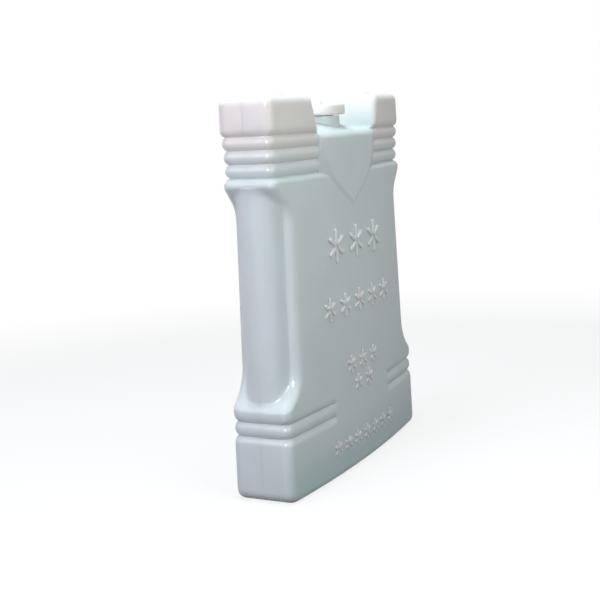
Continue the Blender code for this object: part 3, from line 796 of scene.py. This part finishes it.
def crystalTree():
    # one straight arm is turned round a hub, set on each point, swept, and bent onto the bowed face
    tree, given, result = newTree("snow crystals", {
        "Arms": "Int", "Least Stroke": "Float", "Stroke Share": "Float", "Rise": "Float", "Bow": "Float",
        "Half Depth Low": "Float", "Half Depth High": "Float", "Height": "Float", "Material": "Material",
    })
    arm = addNode(tree, "GeometryNodeCurvePrimitiveLine", {"End": (0, 0, 1)})
    hub = addNode(tree, "GeometryNodePoints", {"Count": given["Arms"]})
    which = addNode(tree, "GeometryNodeInputIndex")
    step = addNode(tree, "ShaderNodeMath", {0: 2 * math.pi, 1: given["Arms"]}, operation="DIVIDE")
    turn = addNode(tree, "ShaderNodeMath", {0: which, 1: step}, operation="MULTIPLY")
    turned = addNode(tree, "ShaderNodeCombineXYZ", {"Y": turn})
    arms = addNode(tree, "GeometryNodeInstanceOnPoints", {"Points": hub, "Instance": arm, "Rotation": turned})
    lines = addNode(tree, "GeometryNodeRealizeInstances", {0: arms})
    size = addNode(tree, "GeometryNodeInputNamedAttribute", {"Name": "size"}, data_type="FLOAT")
    placed = addNode(tree, "GeometryNodeInstanceOnPoints", {
        "Points": given["Geometry"], "Instance": lines, "Scale": size})
    loose = addNode(tree, "GeometryNodeRealizeInstances", {0: placed})
    dense = addNode(tree, "GeometryNodeResampleCurve", {"Curve": loose, "Count": crystals["armPoints"]})

    # half of the arm's width, which falls to nothing in a half circle at its end
    stroke = addNode(tree, "ShaderNodeMath", {
        0: size, 1: given["Stroke Share"], 2: given["Least Stroke"]}, operation="MULTIPLY_ADD")
    along = addNode(tree, "GeometryNodeSplineParameter").outputs["Factor"]
    left = addNode(tree, "ShaderNodeMath", {0: 1.0, 1: along}, operation="SUBTRACT")
    length = addNode(tree, "ShaderNodeMath", {0: left, 1: size}, operation="MULTIPLY")
    fromEnd = addNode(tree, "ShaderNodeMath", {0: length, 1: stroke}, operation="DIVIDE")
    inEnd = addNode(tree, "ShaderNodeMath", {0: 1.0, 1: fromEnd}, operation="SUBTRACT")
    beyond = addNode(tree, "ShaderNodeMath", {0: inEnd, 1: 0.0}, operation="MAXIMUM")
    square = addNode(tree, "ShaderNodeMath", {0: beyond, 1: beyond}, operation="MULTIPLY")
    rest = addNode(tree, "ShaderNodeMath", {0: crystals["endRound"], 1: square}, operation="SUBTRACT")
    roundEnd = addNode(tree, "ShaderNodeMath", {0: rest}, operation="SQRT")
    radius = addNode(tree, "ShaderNodeMath", {0: roundEnd, 1: stroke}, operation="MULTIPLY")
    section = addNode(tree, "GeometryNodeCurvePrimitiveCircle", {
        "Resolution": crystals["sectionPoints"], "Radius": 1.0})
    swept = addNode(tree, "GeometryNodeCurveToMesh", {
        "Curve": dense, "Profile Curve": section, "Scale": radius, "Fill Caps": True})

    # how far the bowed face lies from the middle plane at each point, and how far the arm stands out of it
    position = addNode(tree, "GeometryNodeInputPosition")
    spot = addNode(tree, "ShaderNodeSeparateXYZ", {0: position}).outputs
    share = addNode(tree, "ShaderNodeMath", {0: spot["Z"], 1: given["Height"]}, operation="DIVIDE")
    taper = addNode(tree, "ShaderNodeMath", {
        0: given["Half Depth High"], 1: given["Half Depth Low"]}, operation="SUBTRACT")
    depth = addNode(tree, "ShaderNodeMath", {
        0: share, 1: taper, 2: given["Half Depth Low"]}, operation="MULTIPLY_ADD")
    bowSquare = addNode(tree, "ShaderNodeMath", {0: given["Bow"], 1: 2.0}, operation="POWER")
    sideSquare = addNode(tree, "ShaderNodeMath", {0: spot["X"], 1: 2.0}, operation="POWER")
    reachSquare = addNode(tree, "ShaderNodeMath", {0: bowSquare, 1: sideSquare}, operation="SUBTRACT")
    reach = addNode(tree, "ShaderNodeMath", {0: reachSquare}, operation="SQRT")
    sag = addNode(tree, "ShaderNodeMath", {0: given["Bow"], 1: reach}, operation="SUBTRACT")
    face = addNode(tree, "ShaderNodeMath", {0: sag, 1: depth}, operation="SUBTRACT")
    proud = addNode(tree, "ShaderNodeMath", {0: spot["Y"], 1: given["Rise"]}, operation="MULTIPLY")
    out = addNode(tree, "ShaderNodeMath", {0: face, 1: proud}, operation="ADD")
    onFace = addNode(tree, "ShaderNodeCombineXYZ", {"X": spot["X"], "Y": out, "Z": spot["Z"]})
    bent = addNode(tree, "GeometryNodeSetPosition", {"Geometry": swept, "Position": onFace})
    smooth = addNode(tree, "GeometryNodeSetShadeSmooth", {"Geometry": bent})
    real = addNode(tree, "GeometryNodeRealizeInstances", {0: smooth})
    feed(tree, result, {0: addNode(tree, "GeometryNodeSetMaterial", {
        "Geometry": real, "Material": given["Material"]})})
    return tree


def makeCrystals():
    places = []
    sizes = []
    for z, count, gap, size in crystals["rows"]:
        for index in range(count):
            places.append(((index - (count - 1) / 2) * gap, 0.0, z))
            sizes.append(size)
    mesh = bpy.data.meshes.new("crystal_relief")
    mesh.from_pydata(places, [], [])
    attribute = mesh.attributes.new("size", "FLOAT", "POINT")
    attribute.data.foreach_set("value", sizes)
    thing = bpy.data.objects.new("crystal_relief", mesh)
    scene.collection.objects.link(thing)
    runTree(thing, crystalTree(), {
        "Arms": crystals["arms"], "Least Stroke": crystals["leastStroke"],
        "Stroke Share": crystals["strokeShare"], "Rise": crystals["rise"], "Bow": bottle["bow"],
        "Half Depth Low": bottle["footDepth"] / 2, "Half Depth High": bottle["topDepth"] / 2,
        "Height": bottle["height"], "Material": paintedHighlightPolyethylene,
    })
    return thing


crystalRelief = makeCrystals()
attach(crystalRelief, "root")
print("crystals made:", len(crystalRelief.data.polygons), "faces")


# Parting seam, where the two halves of the mould met: a fine raised line round the bottle's middle plane

# the line is fainter in the waists, where the wall is stretched most
seam = {"radius": 0.00025, "proud": 0.00003, "waistProud": 0.00001, "sides": 8}


def sideProfile():
    # (x, z) of the bottle's middle section, from the middle of the base up to the shoulder's top
    relief, hollowPath = reliefPath(), waistPath()
    foot = quarterPath(0.0, bottle["footSide"], False, bottle["arcSteps"])
    points = [(0.0, 0.0), (halfWidth(0) / 2, 0.0)]
    for z in mergedLevels(foot, relief[1:-2], withPoints(hollowPath, bottle["spacing"])):
        if z > upperBand["top"]:
            break
        side = halfWidth(z) - max(interpolate(relief, z), interpolate(foot, z)) - interpolate(hollowPath, z)
        points.append((withColumn([Vector((side, 0.0, z))])[0].x, z))
    for z, inset in shoulderSide():
        if z > points[-1][1] + bottle["closest"]:
            points.append((halfWidth(z) - inset, z))
    return points + [(shoulder["padPlace"], bottle["height"])]


def seamTree():
    tree, given, result = newTree("parting seam", {"Radius": "Float", "Material": "Material"})
    path = addNode(tree, "GeometryNodeMeshToCurve", {0: given["Geometry"]})
    section = addNode(tree, "GeometryNodeCurvePrimitiveCircle", {
        "Resolution": seam["sides"], "Radius": given["Radius"]})
    line = addNode(tree, "GeometryNodeCurveToMesh", {
        "Curve": path, "Profile Curve": section, "Fill Caps": True})
    smooth = addNode(tree, "GeometryNodeSetShadeSmooth", {"Geometry": line})
    real = addNode(tree, "GeometryNodeRealizeInstances", {0: smooth})
    feed(tree, result, {0: addNode(tree, "GeometryNodeSetMaterial", {
        "Geometry": real, "Material": given["Material"]})})
    return tree


def makeSeam():
    profile = [Vector((x, z)) for x, z in sideProfile()]
    hollowPath = waistPath()
    # the line's middle lies inside the wall, so that only a sliver of it stands out
    inner = []
    for index, point in enumerate(profile):
        inWaist = interpolate(hollowPath, point.y) / waist["depth"]
        sunk = seam["radius"] - seam["proud"] + (seam["proud"] - seam["waistProud"]) * inWaist
        before, after = profile[max(index - 1, 0)], profile[min(index + 1, len(profile) - 1)]
        along = (after - before).normalized()
        inner.append(point + Vector((-along.y, along.x)) * sunk)
    # one line up each side, from halfway across the base
    whole = [(point.x * side, 0.0, point.y) for side in (-1, 1) for point in inner[1:]]
    half = len(inner) - 1
    runs = [(index, index + 1) for index in range(2 * half - 1) if index != half - 1]
    mesh = bpy.data.meshes.new("parting_seam")
    mesh.from_pydata(whole, runs, [])
    thing = bpy.data.objects.new("parting_seam", mesh)
    scene.collection.objects.link(thing)
    runTree(thing, seamTree(), {"Radius": seam["radius"], "Material": milkyPolyethylene})
    return thing


partingSeam = makeSeam()
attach(partingSeam, "root")
print("seam made:", len(partingSeam.data.polygons), "faces")


# Filler plug

plug = {
    "flange": 0.0126, "thickness": 0.0047, "clearance": 0.0003, "edge": 0.0009, "chamfer": 0.0008,
    "stemEdge": 0.0003, "dish": 0.0004, "dishRim": 0.0016, "dishEdge": 0.0004, "steps": 6,
    "middle": 0.001,      # radius of the flat disc that closes the dish
}


def makePlug():
    stem = neck["bore"] - plug["clearance"]
    low = neck["top"] - neck["boreDepth"] + plug["clearance"]
    under = neck["top"] + plug["clearance"]
    top = under + plug["thickness"]
    rim = plug["flange"] - plug["dishRim"]
    profile = roundedPath([
        (stem - plug["chamfer"], low, 0.0),
        (stem, low + plug["chamfer"], plug["stemEdge"]),
        (stem, under, 0.0),
        (plug["flange"], under, plug["edge"]),
        (plug["flange"], top, plug["edge"]),
        (rim, top, plug["dishEdge"]),
        (rim - plug["dish"], top - plug["dish"], plug["dishEdge"]),
        (plug["middle"], top - plug["dish"], 0.0),
    ], plug["steps"])
    return loftObject("filler_plug_finish", [circleRing(r, z) for r, z in profile])


plugPiece = makePlug()
plugPiece.data.materials.append(plugPolyethylene)
plugPiece.data.shade_smooth()
plugPiece.data.set_sharp_from_angle(angle=bottle["smoothTo"])
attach(plugPiece, "root")
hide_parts("filler_plug")
print("plug made")


# Floor, light and world

studio = {
    "floorSize": 6.0, "shadowShare": 0.2, "shadowReach": 0.5, "bounce": "#5A5A5A", "aim": (0, 0, 0.12),
    # a faintly violet lamp on the narrow side, one in front, and a cool one above
    "side": {"place": (-0.55, 0.15, 0.30), "watts": 2.00, "size": 0.3, "colour": (0.93, 0.88, 1.0)},
    "front": {"place": (-0.15, -0.30, 0.20), "watts": 0.54, "size": 0.2, "colour": (0.98, 0.99, 1.0)},
    "top": {"place": (-0.05, 0.02, 0.55), "watts": 1.86, "size": 0.3, "colour": (0.83, 0.95, 1.0)},
    # a small bright lamp that is only mirrored, on tight corners
    "glint": {"place": (-0.455, -0.225, 0.255), "watts": 3.0, "size": 0.09, "colour": (1.0, 1.0, 1.0)},
    "sky": 0.12,
}


def makeLamp(name):
    values = studio[name]
    data = bpy.data.lights.new(name, "AREA")
    data.energy = values["watts"]
    data.color = values["colour"]
    data.size = values["size"]
    thing = bpy.data.objects.new(name, data)
    thing.location = values["place"]
    aim = Vector(studio["aim"]) - thing.location
    thing.rotation_euler = aim.to_track_quat("-Z", "Y").to_euler()
    scene.collection.objects.link(thing)
    return thing


def seenDirectly(tree):
    # 1 for rays from the camera, and for those that a mirror or a glass sends on
    ray = addNode(tree, "ShaderNodeLightPath").outputs
    sentOn = addNode(tree, "ShaderNodeMath", {
        0: ray["Is Glossy Ray"], 1: ray["Is Transmission Ray"]}, operation="MAXIMUM")
    return addNode(tree, "ShaderNodeMath", {0: ray["Is Camera Ray"], 1: sentOn}, operation="MAXIMUM")


def makeFloor():
    # white where it is seen, with a soft shadow near the bottle, and grey for the light that it throws back
    half = studio["floorSize"] / 2
    mesh = bpy.data.meshes.new("floor")
    corners = [(-half, -half, 0), (half, -half, 0), (half, half, 0), (-half, half, 0)]
    mesh.from_pydata(corners, [], [(0, 1, 2, 3)])
    thing = bpy.data.objects.new("floor", mesh)
    scene.collection.objects.link(thing)
    material, tree, shader = newMaterial("white studio floor")
    seen = seenDirectly(tree)
    tone = addNode(tree, "ShaderNodeMix", {
        "Factor": seen, firstColour: fromHex(studio["bounce"]), secondColour: (1, 1, 1, 1),
    }, data_type="RGBA")
    feed(tree, shader, {"Base Color": tone.outputs[mixedColour], "Roughness": 1.0, "Specular IOR Level": 0.0})
    place = addNode(tree, "ShaderNodeTexCoord").outputs["Object"]
    away = addNode(tree, "ShaderNodeVectorMath", {0: place}, operation="LENGTH").outputs["Value"]
    shade = addNode(tree, "ShaderNodeMapRange", {
        "Value": away, "From Min": studio["shadowReach"] / 2, "From Max": studio["shadowReach"],
        "To Min": studio["shadowShare"], "To Max": 0.0,
    }, interpolation_type="SMOOTHSTEP")
    clear = addNode(tree, "ShaderNodeMath", {0: 1.0, 1: shade}, operation="SUBTRACT")
    share = addNode(tree, "ShaderNodeMath", {0: seen, 1: clear}, operation="MULTIPLY")
    white = addNode(tree, "ShaderNodeEmission", {"Color": (1, 1, 1, 1), "Strength": 1.0})
    mix = addNode(tree, "ShaderNodeMixShader", {0: share, 1: shader, 2: white})
    feed(tree, tree.nodes["Material Output"], {"Surface": mix})
    mesh.materials.append(material)


def makeWorld():
    # a dim light from all round, and plain white where it is seen
    world = bpy.data.worlds.new("studio")
    scene.world = world
    world.use_nodes = True
    tree = world.node_tree
    strength = addNode(tree, "ShaderNodeMapRange", {
        "Value": seenDirectly(tree), "To Min": studio["sky"], "To Max": 1.0})
    feed(tree, tree.nodes["Background"], {"Color": (1, 1, 1, 1), "Strength": strength})


for name in ("side", "front", "top"):
    makeLamp(name)
makeLamp("glint").visible_diffuse = False
makeFloor()
makeWorld()
scene.view_settings.view_transform = "Standard"
print("studio made")
